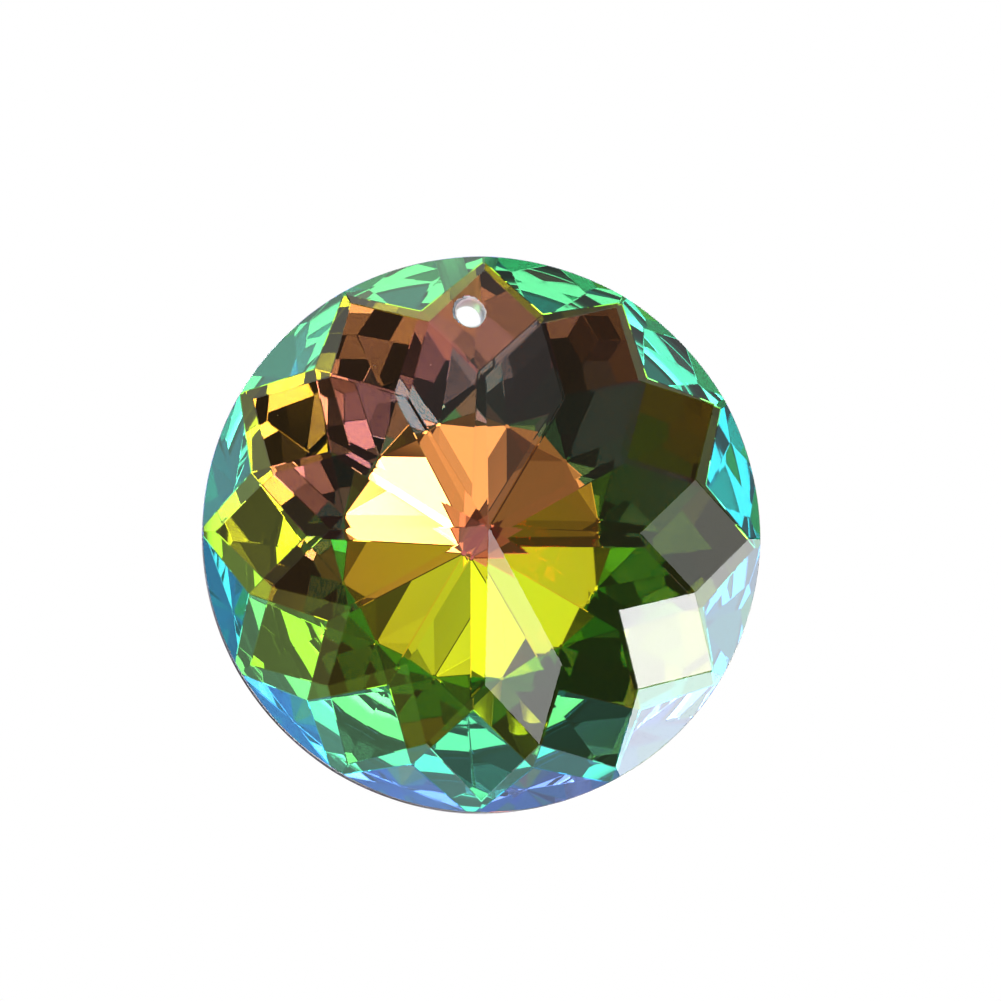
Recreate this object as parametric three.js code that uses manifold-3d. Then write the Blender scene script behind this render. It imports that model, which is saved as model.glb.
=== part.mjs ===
// A hanging crystal pendant: one round disc of clear crystal glass, cut with a flower of flat facets on
// its front and on its back, and drilled through near its top edge.
// Millimetres, +Z up. The front faces -Y, and the origin is the middle of the drilled hole.
//
// Each face has three rings of flat facets. Long kites run out from a point in the middle, diamonds fill
// the notches between the kites, and triangles run from the kites' blunt ends down to the round wall.

import * as THREE from 'three';
import { mergeVertices } from 'three/addons/utils/BufferGeometryUtils.js';
import Module from 'manifold-3d';

// Driving dimensions of the disc and its hole
const DIAMETER = 45;
const WALL_WIDTH = 1.4;
const FACETS_PER_RING = 12;
const POINT_WEAR = 0.02;
const HOLE_DIAMETER = 2.3;
const HOLE_ABOVE_MIDDLE = 17.65;
const HOLE_LEFT_OF_MIDDLE = 1.05;

// Driving dimensions of each face's pattern. The first four are distances of its corners from its axis:
// where two kites meet a diamond, where a kite's shoulder meets two diamonds, where a triangle's point
// does, and where a diamond's outer tip ends. Slopes and turns are in degrees. The pattern's axis sits
// a little off the disc's own, and is turned a little, as a hand-held wheel leaves it.
const FRONT = {
  side: -1,
  kiteFoot: 12.4,
  kiteShoulder: 17.55,
  trianglePoint: 17.68,
  diamondTip: 21.5,
  diamondSlope: 17.9,
  turn: 0.3,
  axisRight: 0,
  axisUp: -0.17,
};
const BACK = {
  side: 1,
  kiteFoot: 12.8,
  kiteShoulder: 18.15,
  trianglePoint: 18.25,
  diamondTip: 22.05,
  diamondSlope: 19.3,
  turn: 1.2,
  axisRight: -0.26,
  axisUp: -0.28,
};

// How finely the round wall and the hole are rounded
const WALL_SEGMENTS = 144;
const HOLE_SEGMENTS = 32;

const wasm = await Module();
wasm.setup();

// A closed three.js geometry as a solid that can be cut
function solidFrom(geometry) {
  geometry.deleteAttribute('normal');
  geometry.deleteAttribute('uv');
  const merged = mergeVertices(geometry);
  const vertProperties = new Float32Array(merged.attributes.position.array);
  const triVerts = new Uint32Array(merged.index.array);
  return new wasm.Manifold(new wasm.Mesh({ numProp: 3, vertProperties, triVerts }));
}

// A cut solid as a three.js geometry with flat shading
function geometryFrom(solid) {
  const mesh = solid.getMesh();
  const geometry = new THREE.BufferGeometry();
  geometry.setAttribute('position', new THREE.BufferAttribute(new Float32Array(mesh.vertProperties), 3));
  geometry.setIndex(new THREE.BufferAttribute(new Uint32Array(mesh.triVerts), 1));
  const flat = geometry.toNonIndexed();
  flat.computeVertexNormals();
  return flat;
}

// The three rings of a face, each with its slope (rise over run) and the height over the disc's middle
// plane at which its planes cross the axis. Two neighbours of one ring meet in a line that falls by the
// slope times the cosine of half a step, and it meets the next ring at a corner of the pattern.
function facetRings(face) {
  const halfStep = Math.PI / FACETS_PER_RING;
  const lean = Math.cos(halfStep);
  const { kiteFoot, kiteShoulder, trianglePoint, diamondTip } = face;
  const diamond = Math.tan(THREE.MathUtils.degToRad(face.diamondSlope));
  const kite = (diamond * (kiteShoulder * lean - kiteFoot)) / (kiteShoulder - kiteFoot * lean);
  const triangle = (diamond * (diamondTip - trianglePoint * lean)) / (diamondTip * lean - trianglePoint);
  const triangleHeight = WALL_WIDTH / 2 + (triangle * DIAMETER) / 2;
  const diamondHeight = triangleHeight - trianglePoint * (triangle - diamond * lean);
  const kiteHeight = diamondHeight - kiteShoulder * (diamond * lean - kite);
  return [
    { slope: kite, height: kiteHeight, firstAngle: halfStep },
    { slope: diamond, height: diamondHeight, firstAngle: 0 },
    { slope: triangle, height: triangleHeight, firstAngle: halfStep },
  ];
}

// One cut of the grinding wheel: a block whose near side lies in the facet's plane. The angle turns
// clockwise from the top, as seen from the front.
function wheelCut(face, ring, index) {
  const turn = THREE.MathUtils.degToRad(face.turn);
  const angle = turn + ring.firstAngle + (index * 2 * Math.PI) / FACETS_PER_RING;
  const normal = new THREE.Vector3(ring.slope * Math.sin(angle), face.side, ring.slope * Math.cos(angle));
  normal.normalize();
  const blockSize = 4 * DIAMETER;
  const block = new THREE.BoxGeometry(blockSize, blockSize, blockSize);
  block.translate(0, 0, blockSize / 2);
  block.applyQuaternion(new THREE.Quaternion().setFromUnitVectors(new THREE.Vector3(0, 0, 1), normal));
  block.translate(face.axisRight, face.side * ring.height, face.axisUp);
  return solidFrom(block);
}

// The round blank, ending just short of the points where the kites would meet, which are worn flat
function blank() {
  const ahead = facetRings(FRONT)[0].height - POINT_WEAR;
  const behind = facetRings(BACK)[0].height - POINT_WEAR;
  const disc = new THREE.CylinderGeometry(DIAMETER / 2, DIAMETER / 2, ahead + behind, WALL_SEGMENTS);
  disc.translate(0, (behind - ahead) / 2, 0);
  return solidFrom(disc);
}

// The drill, long enough to pass the blank on both sides
function drill() {
  const bit = new THREE.CylinderGeometry(HOLE_DIAMETER / 2, HOLE_DIAMETER / 2, 2 * DIAMETER, HOLE_SEGMENTS);
  bit.translate(-HOLE_LEFT_OF_MIDDLE, 0, HOLE_ABOVE_MIDDLE);
  return solidFrom(bit);
}

function cutCrystal() {
  let solid = blank();
  for (const face of [FRONT, BACK]) {
    for (const ring of facetRings(face)) {
      for (let index = 0; index < FACETS_PER_RING; index += 1) {
        solid = solid.subtract(wheelCut(face, ring, index));
      }
    }
  }
  return solid.subtract(drill());
}

const crystalGlass = new THREE.MeshStandardMaterial({
  name: 'crystal_glass',
  color: 0xc8d860,
  roughness: 0.02,
  metalness: 0,
});

const crystal = new THREE.Mesh(geometryFrom(cutCrystal()), crystalGlass);
crystal.name = 'crystal';
crystal.position.set(HOLE_LEFT_OF_MIDDLE, 0, -HOLE_ABOVE_MIDDLE);

const pendant = new THREE.Group();
pendant.add(crystal);

export default pendant;
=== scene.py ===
"""The looks of a hanging crystal pendant: a round disc of cut crystal glass with a drilled hole."""
import math

import bmesh
import bpy
import numpy as np
from mathutils import Matrix, Vector


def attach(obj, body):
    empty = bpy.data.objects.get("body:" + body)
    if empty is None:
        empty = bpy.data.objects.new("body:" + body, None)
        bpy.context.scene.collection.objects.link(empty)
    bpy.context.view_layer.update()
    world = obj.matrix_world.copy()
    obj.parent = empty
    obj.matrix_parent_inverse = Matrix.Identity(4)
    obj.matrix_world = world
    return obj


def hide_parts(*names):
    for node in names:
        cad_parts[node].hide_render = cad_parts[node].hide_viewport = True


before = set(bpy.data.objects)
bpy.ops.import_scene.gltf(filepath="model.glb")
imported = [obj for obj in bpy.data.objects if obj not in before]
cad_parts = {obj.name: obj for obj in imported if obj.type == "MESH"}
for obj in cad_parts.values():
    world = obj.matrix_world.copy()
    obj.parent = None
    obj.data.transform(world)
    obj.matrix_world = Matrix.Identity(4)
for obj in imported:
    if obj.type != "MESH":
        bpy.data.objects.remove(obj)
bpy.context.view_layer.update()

MM = 0.001

# The disc, in millimetres: its hole is the origin, and its middle lies below and to the right
RADIUS = 22.5
WALL_WIDTH = 1.4
POINT_WEAR = 0.055
EDGE_FLAT = 0.045
HOLE_RADIUS = 1.15
HOLE_UP = 17.65
HOLE_LEFT = 1.05

# Each ring of facets has twelve, and LEAN is the cosine of half the step from one to the next
FACETS = 12
STEP = 2 * math.pi / FACETS
LEAN = math.cos(STEP / 2)

# Each face's corners by their distance from its own axis, its diamonds' slope, its turn and its axis
FRONT = dict(side=-1, foot=12.4, shoulder=17.62, tip=21.5, slope=17.9, turn=0.3, right=0.0, up=-0.17)
BACK = dict(side=1, foot=12.8, shoulder=18.2, tip=22.05, slope=19.3, turn=1.2, right=-0.26, up=-0.28)

# The hole's lip: how wide and deep it is broken, and its shell chips, with their angles in radians
LIP_WIDTH = 0.035
LIP_DEPTH = 0.05
LIP_SLOPE = 0.9
CHIPS = 16
CHIP_ANGLE = (0.15, 0.5)
CHIP_SIZE = (0.03, 0.1)
CHIP_MORE_AT_TOP = 0.1
FIRST_SEED = 5

# How finely the round wall and the hole are made, and how near a corner the wall has no other point
WALL_SIDES = 360
HOLE_SIDES = 64
TUBE_RINGS = 8
CORNER_GAP = 0.006

# The finishes, in the order of the mesh's materials
CLEAR, COATED, WALL, GROUND = range(4)

GLASS_IOR = 1.542

# Marks on the polished front: turn in degrees, stretch, cells a metre, size and share of marked cells
MARKS = [
    (0, 1.0, 900, 0.045, 0.05),
    (35, 0.08, 900, 0.030, 0.03),
    (-50, 0.10, 700, 0.022, 0.03),
]
MARK_ROUGHNESS = 0.6

# The coat's colour by the slant of the light that meets it, in degrees inside the glass. Past the critical
# slant the coat mirrors everything, and its colours start afresh from blue, a jump further on.
COAT = [
    (0, (207, 60, 90)),
    (8, (225, 75, 85)),
    (12, (238, 115, 80)),
    (16, (242, 135, 80)),
    (19, (238, 150, 78)),
    (20.3, (222, 150, 72)),
    (20.8, (208, 150, 42)),
    (21.4, (205, 172, 18)),
    (22.2, (200, 196, 20)),
    (23.5, (188, 208, 22)),
    (25, (160, 212, 30)),
    (27, (120, 208, 45)),
    (29, (84, 192, 108)),
    (31, (70, 190, 138)),
    (33, (60, 195, 165)),
    (35, (36, 186, 200)),
    (37, (30, 160, 222)),
    (39.5, (75, 140, 230)),
    (42, (125, 140, 235)),
    (45, (165, 165, 238)),
    (54, (10, 160, 240)),
    (58.5, (15, 150, 245)),
    (61, (40, 125, 250)),
    (63.5, (90, 108, 240)),
    (66, (118, 104, 220)),
    (69, (126, 108, 185)),
    (73, (132, 112, 165)),
    (80, (150, 140, 185)),
    (90, (250, 249, 255)),
]
RIGHT_ANGLE = 90.0
CRITICAL = 40.4
JUMP = 15.0
MIRROR_SHARE = 0.90

# How the film's thickness changes from facet to facet, in degrees of slant: shares of the way a facet faces,
# right and up, for steep light and for flat light, and the fall with a facet's slope beyond the kites' slope
STEEP_WAY = (3.0, 1.6)
FLAT_WAY = (4.0, -1.9)
STEEP_SLOPE = 50.0
KITE_SLOPE = 0.276
STEEP_TO_FLAT = (25.0, 28.5)

# The coat's colour for light that meets it straight on, as the slant that has it: the kites' slant and lean,
# the gain with more lean, the shares of the way a facet faces, and the slant up to which it holds
KITE_SLANT = 20.0
KITE_LEAN = 16.0
LEAN_GAIN = 1.3
STRAIGHT_WAY = (8.0, -10.0)
STRAIGHT_ON = 0.1

# The camera, and where the disc lies in its square picture, in pixels
TO_CAMERA = Vector((-0.0722, -0.9920, -0.1039)).normalized()
DISTANCE = 0.700
SENSOR = 36
PICTURE = 1001
PIXELS_A_MM = 12.41
DISC_X = 481.31
DISC_Y = 534.62

# Soft boxes round the crystal: right, up, toward the front, angular radius, edge in degrees, strength
SOFT_BOXES = {
    "wall behind the camera": (0.08, 0.06, 0.99, 20, 3, 0.40),
    "small low lamp": (0.18, -0.37, 0.91, 3.6, 0.8, 4.2),
    "small right lamp": (0.29, -0.35, 0.89, 3.2, 0.5, 5.0),
    "right lamp": (0.59, -0.20, 0.78, 3.2, 0.5, 16.5),
    "right box": (0.80, -0.12, 0.59, 9, 1, 9.0),
    "right low box": (0.73, -0.31, 0.61, 8, 1, 9.0),
    "right lowest box": (0.62, -0.47, 0.62, 8.5, 1, 12.0),
    "right middle box": (0.66, 0.10, 0.75, 4, 1, 2.0),
    "right edge card": (0.54, -0.27, 0.80, 5, 1, 1.5),
    "right upper card": (0.82, 0.27, 0.50, 9, 2, 0.65),
    "upper right card": (0.45, 0.72, 0.53, 11.5, 1.5, 1.0),
    "top strip": (0.00, 0.84, 0.54, 12, 2, 2.1),
    "top front card": (0.08, 0.62, 0.78, 8, 2, 0.45),
    "top back strip": (-0.10, 0.97, 0.18, 10, 2, 1.5),
    "upper left card": (-0.48, 0.66, 0.58, 12, 2, 1.4),
    "left upper card": (-0.70, 0.33, 0.63, 12, 2, 1.0),
    "left far card": (-0.90, 0.35, 0.34, 9, 2, 2.0),
    "left front card": (-0.57, 0.00, 0.82, 6, 2, 0.5),
    "left box": (-0.98, -0.17, 0.05, 14, 3, 7.0),
    "left low card": (-0.86, -0.38, 0.38, 9, 2, 1.5),
    "left low front card": (-0.60, -0.34, 0.72, 16, 3, 0.25),
    "low front box": (0.06, -0.72, 0.69, 12, 2, 1.7),
    "low middle card": (0.35, -0.63, 0.69, 5, 1, 0.9),
    "low front left card": (-0.22, -0.79, 0.57, 6, 1, 0.9),
    "low front right card": (0.32, -0.51, 0.80, 4, 1, 1.2),
    "low right front box": (0.37, -0.80, 0.47, 7, 1.5, 4.0),
    "low right box": (0.56, -0.82, 0.05, 14, 3, 6.0),
    "low left card": (-0.50, -0.72, 0.48, 12, 3, 0.30),
    "low box": (-0.20, -0.97, -0.10, 9, 2, 6.0),
    "gap behind": (0.13, 0.13, -0.98, 9, 2, 3.0),
    "back upper left card": (-0.33, 0.38, -0.86, 8, 2, 4.0),
    "back upper left box": (-0.64, 0.66, -0.38, 10, 2, 10.0),
    "back upper right box": (0.48, 0.60, -0.64, 16, 3, 2.6),
    "back left low card": (-0.70, -0.60, -0.38, 14, 3, 4.0),
    "back right card": (0.90, -0.25, -0.36, 12, 3, 4.0),
}
# The dim room in front and behind, how it fades from one to the other, and the bright ring of backdrop,
# with its start off the line straight behind the crystal and its edge, in degrees
ROOM_FRONT = 0.08
ROOM_BEHIND = 0.07
ROOM_FADE = 0.2
RING_STRENGTH = 2.2
RING_START = 28.0
RING_EDGE = 5.0

FLOOR_HALF = 1.5
FLOOR_DOWN = 0.20


def off_angle(first, second):
    """The signed angle from the second to the first, the short way round."""
    return (first - second + math.pi) % (2 * math.pi) - math.pi


def facet_planes(face):
    """Slope and height at the axis of the planes of a face's kites, diamonds and triangles.

    Neighbours of one ring meet in a line that falls by slope times LEAN, and the rings meet each other at
    the foot, shoulder and tip corners, which fixes each slope and each height from the diamonds' slope.
    """
    diamond = math.tan(math.radians(face["slope"]))
    foot, shoulder, tip = face["foot"], face["shoulder"], face["tip"]
    kite = diamond * (shoulder * LEAN - foot) / (shoulder - foot * LEAN)
    triangle = diamond * (tip - shoulder * LEAN) / (tip * LEAN - shoulder)
    triangle_up = WALL_WIDTH / 2 + triangle * RADIUS
    diamond_up = triangle_up - shoulder * (triangle - diamond * LEAN)
    kite_up = diamond_up - shoulder * (diamond * LEAN - kite)
    return (kite, kite_up), (diamond, diamond_up), (triangle, triangle_up)


class Face:
    """One cut face of the disc: its planes and the corners of its pattern."""

    def __init__(self, face):
        self.side = face["side"]
        self.turn = math.radians(face["turn"])
        self.axis = np.array([face["right"], face["up"]])
        self.foot, self.shoulder, self.tip = face["foot"], face["shoulder"], face["tip"]
        planes = facet_planes(face)
        self.slope, self.up = np.repeat(np.array(planes), FACETS, axis=0).T
        self.angle = np.concatenate([self.ray(0.5), self.ray(0.0), self.ray(0.5)])
        self.worn = POINT_WEAR / (planes[0][0] * LEAN)

    def ray(self, steps):
        """Angles of the pattern's twelve rays, turned on by a share of a step."""
        return self.turn + (np.arange(FACETS) + steps) * STEP

    def surface(self, x, z):
        """Points (x, side * h(x, z), z), with h the lowest of the planes' heights there.

        A plane's height is its height at the axis less its slope times the way gone toward where it faces.
        """
        right, above = x[..., None] - self.axis[0], z[..., None] - self.axis[1]
        gone = np.sin(self.angle) * right + np.cos(self.angle) * above
        return np.stack([x, self.side * (self.up - self.slope * gone).min(-1), z], -1)

    def corners(self, distance, steps=0.0):
        """The pattern's twelve points at a distance from its axis, clockwise from the top."""
        angle = self.ray(steps)
        x, z = self.axis[0] + distance * np.sin(angle), self.axis[1] + distance * np.cos(angle)
        return self.surface(x, z)

    def rim_corners(self):
        """Angles about the disc's middle at which the pattern's rays meet the rim.

        A ray from the axis a along the way w is as long as -a.w + sqrt((a.w)^2 - a.a + radius^2).
        """
        way = np.stack([np.sin(self.ray(0.0)), np.cos(self.ray(0.0))], -1)
        along = way @ self.axis
        reach = -along + np.sqrt(along ** 2 - self.axis @ self.axis + RADIUS ** 2)
        x, z = (self.axis + reach[:, None] * way).T
        return np.arctan2(x, z) % (2 * math.pi)


class Surface:
    """A closed surface gathered part by part: points, and faces with their finish and shading."""

    def __init__(self):
        self.points = np.zeros((0, 3))
        self.faces = []
        self.finish = []
        self.smooth = []

    def add(self, points):
        """Takes a row of points in, and gives their numbers."""
        first = len(self.points)
        self.points = np.concatenate([self.points, points])
        return np.arange(first, first + len(points))

    def facet(self, corners, finish):
        """One flat face."""
        self.faces.append([int(corner) for corner in corners])
        self.finish.append(finish)
        self.smooth.append(False)

    def band(self, first, second, finish, smooth):
        """A ring of four-sided faces between two loops of as many points."""
        quads = np.stack([first, np.roll(first, -1), np.roll(second, -1), second], 1)
        self.faces += quads.tolist()
        self.finish += [finish] * len(quads)
        self.smooth += [smooth] * len(quads)


def arc(points, start, end):
    """The points of a closed loop from one place on to another, both included."""
    count = (end - start) % len(points) + 1
    return points[(start + np.arange(count)) % len(points)]


def rim_angles(front, back):
    """Angles of the rim's points: even steps and both patterns' corners, with no two nearer than a gap.

    Even steps give way to all corners, and the front's corners to the back's.
    """
    def clear_of(angles, others):
        return angles[np.abs(off_angle(angles[:, None], others)).min(1) > CORNER_GAP]

    ahead, behind = front.rim_corners(), back.rim_corners()
    even = np.round(np.arange(WALL_SIDES) * 2 * math.pi / WALL_SIDES, 6)
    even = clear_of(even, np.concatenate([ahead, behind]))
    return np.sort(np.concatenate([even, clear_of(ahead, behind), behind]))


def add_facets(surface, face, around, glass):
    """All facets of one face but the top diamond. Gives the rim's points and the top diamond's corners."""
    worn = surface.add(face.corners(face.worn))
    foot = surface.add(face.corners(face.foot))
    shoulder = surface.add(face.corners(face.shoulder, 0.5))
    tip = surface.add(face.corners(face.tip))
    rim = surface.add(face.surface(RADIUS * np.sin(around), RADIUS * np.cos(around)))
    starts = np.abs(off_angle(around, face.rim_corners()[:, None])).argmin(1)
    surface.facet(worn, glass)
    for k in range(FACETS):
        after = (k + 1) % FACETS
        surface.facet([worn[k], foot[k], shoulder[k], foot[after], worn[after]], glass)
        surface.facet([shoulder[k], tip[k], *arc(rim, starts[k], starts[after]), tip[after]], glass)
        if k:
            surface.facet([foot[k], shoulder[k - 1], tip[k], shoulder[k]], glass)
    return rim, [tip[0], shoulder[0], foot[0], shoulder[-1]]


def lip_chips(seed):
    """How far the drilled hole's edge is broken away round the circle, in even steps.

    It is the lip's width or, where larger, the bump size * max(0, 1 - (angle off / width)^2) of a shell
    chip, at seeded places, with larger chips at the top of the hole.
    """
    rng = np.random.default_rng(seed)
    angle = np.arange(HOLE_SIDES) * 2 * math.pi / HOLE_SIDES
    chip = np.full(HOLE_SIDES, LIP_WIDTH)
    for _ in range(CHIPS):
        where, width = rng.uniform(0, 2 * math.pi), rng.uniform(*CHIP_ANGLE)
        size = rng.uniform(*CHIP_SIZE) + CHIP_MORE_AT_TOP * max(0, math.cos(where))
        chip = np.maximum(chip, size * np.clip(1 - (off_angle(angle, where) / width) ** 2, 0, None))
    return angle, chip


def add_lip(surface, face, corners, glass, seed):
    """The top diamond, as four facets between its corners and the hole's broken lip, and the lip itself.

    The lip runs from the circle hole radius + chip on the facet down to the true circle, a depth under it.
    """
    angle, chip = lip_chips(seed)
    wide = HOLE_RADIUS + chip
    outer = face.surface(-HOLE_LEFT + wide * np.sin(angle), HOLE_UP + wide * np.cos(angle))
    inner = face.surface(-HOLE_LEFT + HOLE_RADIUS * np.sin(angle), HOLE_UP + HOLE_RADIUS * np.cos(angle))
    inner[:, 1] -= face.side * (LIP_DEPTH + LIP_SLOPE * chip)
    lip = surface.add(np.stack([outer, inner], 1).reshape(-1, 3))
    outer, inner = lip[0::2], lip[1::2]
    x, _, z = surface.points[corners].T
    toward = np.arctan2(x + HOLE_LEFT, z - HOLE_UP) / (2 * math.pi) * HOLE_SIDES
    nearest = np.round(toward).astype(int) % HOLE_SIDES
    for j in range(4):
        after = (j + 1) % 4
        surface.facet([corners[after], corners[j], *arc(outer, nearest[j], nearest[after])], glass)
    surface.band(outer, inner, GROUND, False)
    return inner


def add_tube(surface, front_lip, back_lip):
    """The drilled hole's wall, in rings that go from the front lip to the back lip by even shares."""
    ends = surface.points[front_lip], surface.points[back_lip]
    rows = [front_lip]
    for share in np.linspace(0, 1, TUBE_RINGS + 1)[1:-1]:
        rows.append(surface.add(ends[0] * (1 - share) + ends[1] * share))
    rows.append(back_lip)
    for upper, lower in zip(rows[:-1], rows[1:]):
        surface.band(upper, lower, GROUND, True)


def coat_film(normals):
    """The coat's film on facets with those normals, as three slants in degrees.

    The first two say how far ahead the coat is for steep light and for flat light: shares of the way the
    facet faces, less, for steep light, a fall with its slope. The third has the colour for light that meets
    the coat straight on: gold on the kites, green on the diamonds and blue-green on the triangles.
    """
    x, y, z = normals.T
    slope = np.hypot(x, z)
    tilted = slope > 1e-6
    right, up = x / np.where(tilted, slope, 1), z / np.where(tilted, slope, 1)
    steep = STEEP_WAY[0] * right + STEEP_WAY[1] * up - STEEP_SLOPE * (slope - KITE_SLOPE)
    flat = FLAT_WAY[0] * right + FLAT_WAY[1] * up
    lean = np.degrees(np.arccos(np.minimum(1.0, np.abs(y))))
    straight = KITE_SLANT + LEAN_GAIN * (lean - KITE_LEAN) + STRAIGHT_WAY[0] * x + STRAIGHT_WAY[1] * z
    return {"film_steep": steep * tilted, "film_flat": flat * tilted, "film_straight": straight}


def build_crystal():
    """The whole crystal as one closed surface of flat facets, a round wall and a drilled hole.

    The wall joins both faces' rims at shared angles. The hole's tube joins both top diamonds, with a broken
    lip at each end.
    """
    surface = Surface()
    front, back = Face(FRONT), Face(BACK)
    around = rim_angles(front, back)
    rims, lips = [], []
    for number, (face, glass) in enumerate(((front, CLEAR), (back, COATED))):
        rim, corners = add_facets(surface, face, around, glass)
        rims.append(rim)
        lips.append(add_lip(surface, face, corners, glass, FIRST_SEED + number))
    surface.band(rims[0], rims[1], WALL, True)
    add_tube(surface, lips[0], lips[1])

    mesh = bmesh.new()
    places = (surface.points + (HOLE_LEFT, 0, -HOLE_UP)) * MM
    points = [mesh.verts.new(place) for place in places.tolist()]
    for corners, finish, smooth in zip(surface.faces, surface.finish, surface.smooth):
        made = mesh.faces.new([points[corner] for corner in corners])
        made.material_index = finish
        made.smooth = smooth
    bmesh.ops.recalc_face_normals(mesh, faces=mesh.faces)
    data = bpy.data.meshes.new("cut_crystal")
    mesh.to_mesh(data)
    mesh.free()

    normals = np.zeros(3 * len(data.polygons))
    data.polygons.foreach_get("normal", normals)
    coated = np.array(surface.finish) == COATED
    for name, slants in coat_film(normals.reshape(-1, 3)).items():
        film = data.attributes.new(name, "FLOAT", "FACE")
        film.data.foreach_set("value", slants * coated)
    return data


def worn_edges(data):
    """The same mesh with each sharp edge ground to a narrow flat of its own."""
    rough = bpy.data.objects.new("rough_crystal", data)
    bpy.context.scene.collection.objects.link(rough)
    bevel = rough.modifiers.new("edges", "BEVEL")
    bevel.width = EDGE_FLAT * MM
    bevel.offset_type = "OFFSET"
    bevel.segments = 1
    bevel.limit_method = "ANGLE"
    bevel.angle_limit = math.radians(3)
    bevel.use_clamp_overlap = False
    bevel.loop_slide = False
    bevel.miter_outer = "MITER_SHARP"
    graph = bpy.context.evaluated_depsgraph_get()
    made = bpy.data.meshes.new_from_object(rough.evaluated_get(graph))
    made.name = "crystal_surface"
    bpy.data.objects.remove(rough)
    return made


def feed(tree, socket, value):
    """Sets a socket to a plain number, or links it to another node's output."""
    if isinstance(value, (int, float)):
        socket.default_value = value
    else:
        tree.links.new(value, socket)


def math_node(tree, operation, *values):
    """A Math node's output, from sockets or plain numbers."""
    node = tree.nodes.new("ShaderNodeMath")
    node.operation = operation
    for socket, value in zip(node.inputs, values):
        feed(tree, socket, value)
    return node.outputs[0]


def smooth_step(tree, value, low, high, start, end):
    """A number that goes smoothly from a start to an end while the value goes from low to high."""
    node = tree.nodes.new("ShaderNodeMapRange")
    node.interpolation_type = "SMOOTHSTEP"
    names = ("Value", "From Min", "From Max", "To Min", "To Max")
    for name, given in zip(names, (value, low, high, start, end)):
        feed(tree, node.inputs[name], given)
    return node.outputs["Result"]


def choose(tree, share, first, second):
    """A number mixed from two by a share."""
    node = tree.nodes.new("ShaderNodeMix")
    node.data_type = "FLOAT"
    for socket, value in zip((node.inputs[0], node.inputs[2], node.inputs[3]), (share, first, second)):
        feed(tree, socket, value)
    return node.outputs[0]


def face_value(tree, name):
    """The value that the mesh keeps for each face under a name."""
    node = tree.nodes.new("ShaderNodeAttribute")
    node.attribute_name = name
    return node.outputs["Fac"]


def material(name, colour, roughness):
    """A new material with its node tree emptied to one shader and one output."""
    made = bpy.data.materials.new(name)
    made.use_nodes = True
    tree = made.node_tree
    tree.nodes.clear()
    out = tree.nodes.new("ShaderNodeOutputMaterial")
    shader = tree.nodes.new("ShaderNodeBsdfPrincipled")
    tree.links.new(shader.outputs["BSDF"], out.inputs["Surface"])
    shader.inputs["Base Color"].default_value = (*colour, 1)
    shader.inputs["Roughness"].default_value = roughness
    return made, tree, shader


def glass(name, roughness, colour=(1, 1, 1), transmission=1.0):
    """A new material of crystal glass."""
    made, tree, shader = material(name, colour, roughness)
    shader.inputs["IOR"].default_value = GLASS_IOR
    shader.inputs["Transmission Weight"].default_value = transmission
    return made, tree, shader


def clear_glass():
    """Polished clear crystal glass, with a few fine specks and hairline scratches that scatter light.

    A mark lies where a cell's distance from its seed is under a small radius, in a few cells out of a
    hundred, and scratches are the same cells drawn out along one direction.
    """
    made, tree, shader = glass("clear_crystal_glass", 0.0)
    place = tree.nodes.new("ShaderNodeTexCoord")
    marks = 0.0
    for turn, stretch, cells, size, share in MARKS:
        mapping = tree.nodes.new("ShaderNodeMapping")
        mapping.inputs["Rotation"].default_value = (0, math.radians(turn), 0)
        mapping.inputs["Scale"].default_value = (1, 1, stretch)
        tree.links.new(place.outputs["Object"], mapping.inputs["Vector"])
        cell = tree.nodes.new("ShaderNodeTexVoronoi")
        cell.inputs["Scale"].default_value = cells
        tree.links.new(mapping.outputs["Vector"], cell.inputs["Vector"])
        near = math_node(tree, "LESS_THAN", cell.outputs["Distance"], size)
        pick = tree.nodes.new("ShaderNodeSeparateColor")
        tree.links.new(cell.outputs["Color"], pick.inputs[0])
        mark = math_node(tree, "MULTIPLY", near, math_node(tree, "LESS_THAN", pick.outputs[0], share))
        marks = math_node(tree, "MAXIMUM", marks, mark)
    tree.links.new(math_node(tree, "MULTIPLY", marks, MARK_ROUGHNESS), shader.inputs["Roughness"])
    return made


def linear(colour):
    """Linear light from an 8-bit colour."""
    c = np.array(colour) / 255.0
    return tuple(np.where(c <= 0.04045, c / 12.92, ((c + 0.055) / 1.055) ** 2.4)) + (1.0,)


def coat_slant(tree):
    """The slant that gives the coat's colour, in degrees.

    It is the slant of the light in the glass, plus what the film is ahead by on this facet, plus the jump
    past the critical slant. Light that meets the coat straight on, as in a baked map, has the facet's own.
    """
    weight = tree.nodes.new("ShaderNodeLayerWeight")
    weight.inputs["Blend"].default_value = 0.5
    slant = math_node(tree, "ARCCOSINE", math_node(tree, "SUBTRACT", 1.0, weight.outputs["Facing"]))
    slant = math_node(tree, "MULTIPLY", slant, 180 / math.pi)
    steep, flat = face_value(tree, "film_steep"), face_value(tree, "film_flat")
    ahead = smooth_step(tree, slant, *STEEP_TO_FLAT, steep, flat)
    past = math_node(tree, "MULTIPLY", math_node(tree, "GREATER_THAN", slant, CRITICAL), JUMP)
    whole = math_node(tree, "ADD", math_node(tree, "ADD", slant, ahead), past)
    straight = math_node(tree, "LESS_THAN", slant, STRAIGHT_ON)
    return choose(tree, straight, whole, face_value(tree, "film_straight"))


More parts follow.
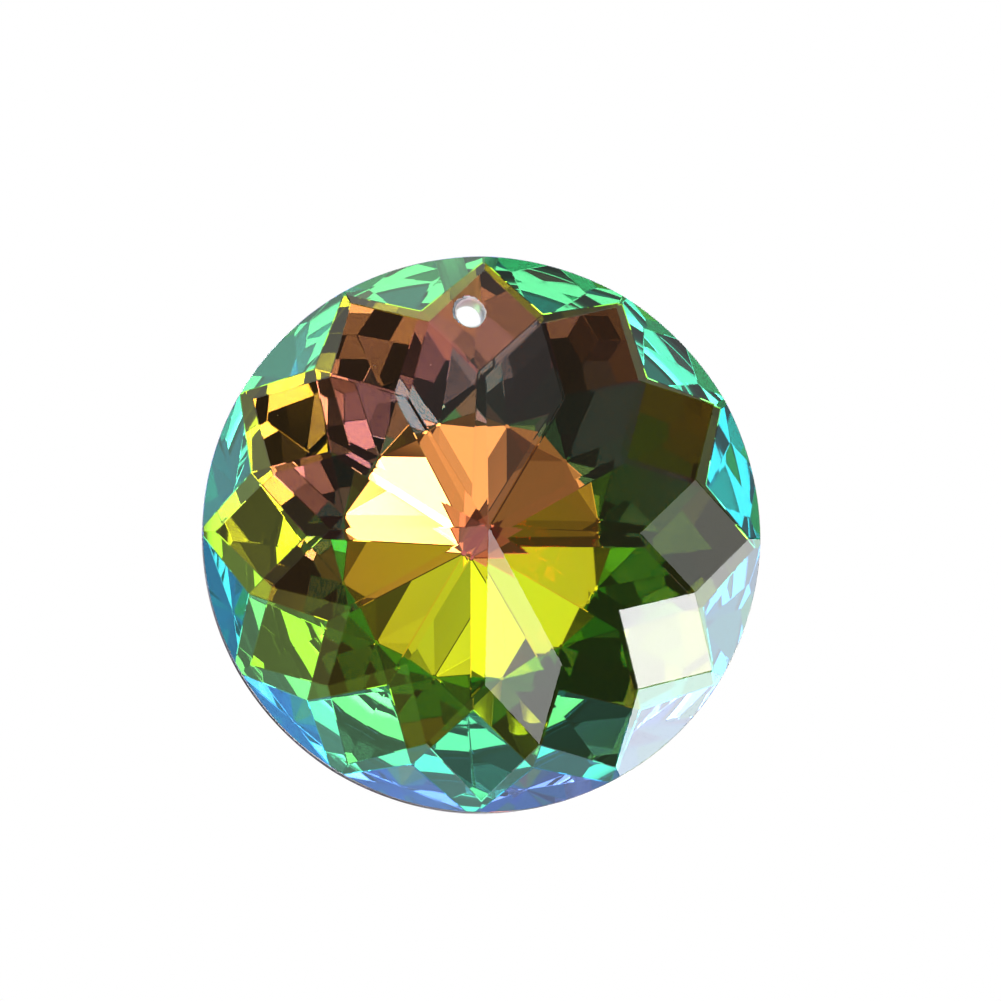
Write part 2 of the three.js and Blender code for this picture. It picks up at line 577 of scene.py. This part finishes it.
def coated_glass():
    """Crystal glass with a thin mirror coat that changes colour with the slant of the light in it."""
    made, tree, shader = glass("coated_crystal_glass", 0.0)
    ramp = tree.nodes.new("ShaderNodeValToRGB")
    stops = ramp.color_ramp.elements
    for index, (slant, colour) in enumerate(COAT):
        stop = stops[index] if index < 2 else stops.new(slant / RIGHT_ANGLE)
        stop.position = slant / RIGHT_ANGLE
        stop.color = linear(colour)
    tree.links.new(math_node(tree, "DIVIDE", coat_slant(tree), RIGHT_ANGLE), ramp.inputs["Fac"])
    tree.links.new(ramp.outputs["Color"], shader.inputs["Base Color"])
    shader.inputs["Metallic"].default_value = MIRROR_SHARE
    return made


def wall_glass():
    """The round wall, ground and then polished less finely than the facets."""
    return glass("wall_crystal_glass", 0.12)[0]


def ground_glass():
    """The drilled hole's frosted, scored wall."""
    made, tree, shader = glass("ground_crystal_glass", 0.5, (0.93, 0.93, 0.96), 0.45)
    place = tree.nodes.new("ShaderNodeTexCoord")
    noise = tree.nodes.new("ShaderNodeTexNoise")
    noise.inputs["Scale"].default_value = 4000
    bump = tree.nodes.new("ShaderNodeBump")
    bump.inputs["Strength"].default_value = 0.4
    bump.inputs["Distance"].default_value = 0.00005
    tree.links.new(place.outputs["Object"], noise.inputs["Vector"])
    tree.links.new(noise.outputs["Fac"], bump.inputs["Height"])
    tree.links.new(bump.outputs["Normal"], shader.inputs["Normal"])
    return made


def build_camera():
    """The camera at the photograph's angle, a little low and to the left, with a shift for its framing."""
    data = bpy.data.cameras.new("camera")
    camera = bpy.data.objects.new("camera", data)
    bpy.context.scene.collection.objects.link(camera)
    middle = Vector((HOLE_LEFT * MM, 0, -HOLE_UP * MM))
    right = Vector((0, 0, 1)).cross(TO_CAMERA).normalized()
    above = TO_CAMERA.cross(right)
    turned = Matrix((right, above, TO_CAMERA)).transposed().to_4x4()
    camera.matrix_world = Matrix.Translation(middle + TO_CAMERA * DISTANCE) @ turned
    data.sensor_width = SENSOR
    data.lens = SENSOR * DISTANCE * PIXELS_A_MM / (PICTURE * MM)
    data.shift_x = (PICTURE / 2 - DISC_X) / PICTURE
    data.shift_y = (DISC_Y - PICTURE / 2) / PICTURE
    data.clip_start = 0.01
    data.clip_end = 20
    bpy.context.scene.camera = camera


def build_studio():
    """A dim room with soft boxes, which lights the crystal, and a plain white backdrop for the camera."""
    world = bpy.data.worlds.new("studio")
    bpy.context.scene.world = world
    world.use_nodes = True
    tree = world.node_tree
    tree.nodes.clear()
    place = tree.nodes.new("ShaderNodeTexCoord").outputs["Generated"]
    split = tree.nodes.new("ShaderNodeSeparateXYZ")
    tree.links.new(place, split.inputs[0])
    behind = split.outputs["Y"]

    off_line = math_node(tree, "ARCCOSINE", behind)
    low, high = math.radians(RING_START - RING_EDGE), math.radians(RING_START + RING_EDGE)
    ring = smooth_step(tree, off_line, low, high, ROOM_BEHIND, RING_STRENGTH)
    total = math_node(tree, "MULTIPLY", ring, smooth_step(tree, behind, -ROOM_FADE, ROOM_FADE, 0.0, 1.0))
    total = math_node(tree, "ADD", total, smooth_step(tree, behind, -ROOM_FADE, ROOM_FADE, ROOM_FRONT, 0.0))
    for right_way, up_way, front_way, radius, edge, strength in SOFT_BOXES.values():
        dot = tree.nodes.new("ShaderNodeVectorMath")
        dot.operation = "DOT_PRODUCT"
        tree.links.new(place, dot.inputs[0])
        dot.inputs[1].default_value = Vector((right_way, -front_way, up_way)).normalized()
        angle = math_node(tree, "ARCCOSINE", dot.outputs["Value"])
        low, high = math.radians(radius - edge), math.radians(radius + edge)
        total = math_node(tree, "ADD", total, smooth_step(tree, angle, low, high, strength, 0.0))

    path = tree.nodes.new("ShaderNodeLightPath")
    background = tree.nodes.new("ShaderNodeBackground")
    background.inputs["Color"].default_value = (1, 1, 1, 1)
    tree.links.new(choose(tree, path.outputs["Is Camera Ray"], total, 1.0), background.inputs["Strength"])
    out = tree.nodes.new("ShaderNodeOutputWorld")
    tree.links.new(background.outputs[0], out.inputs["Surface"])


def build_floor():
    """A plain pale floor some way below the crystal, as one flat square, which the crystal doesn't show."""
    made = material("pale_floor", (0.85, 0.85, 0.84), 0.9)[0]
    data = bpy.data.meshes.new("floor")
    square = np.array([(-1, -1), (1, -1), (1, 1), (-1, 1)]) * FLOOR_HALF
    data.from_pydata([(x, y, -FLOOR_DOWN) for x, y in square], [], [(0, 1, 2, 3)])
    data.materials.append(made)
    floor = bpy.data.objects.new("floor", data)
    bpy.context.scene.collection.objects.link(floor)
    floor.visible_glossy = False
    floor.visible_transmission = False


shape = build_crystal()
for made in (clear_glass(), coated_glass(), wall_glass(), ground_glass()):
    shape.materials.append(made)
crystal = bpy.data.objects.new("cut_crystal", worn_edges(shape))
bpy.context.scene.collection.objects.link(crystal)
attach(crystal, "root")
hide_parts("crystal")

build_camera()
build_floor()
build_studio()
bpy.context.scene.view_settings.view_transform = "Standard"
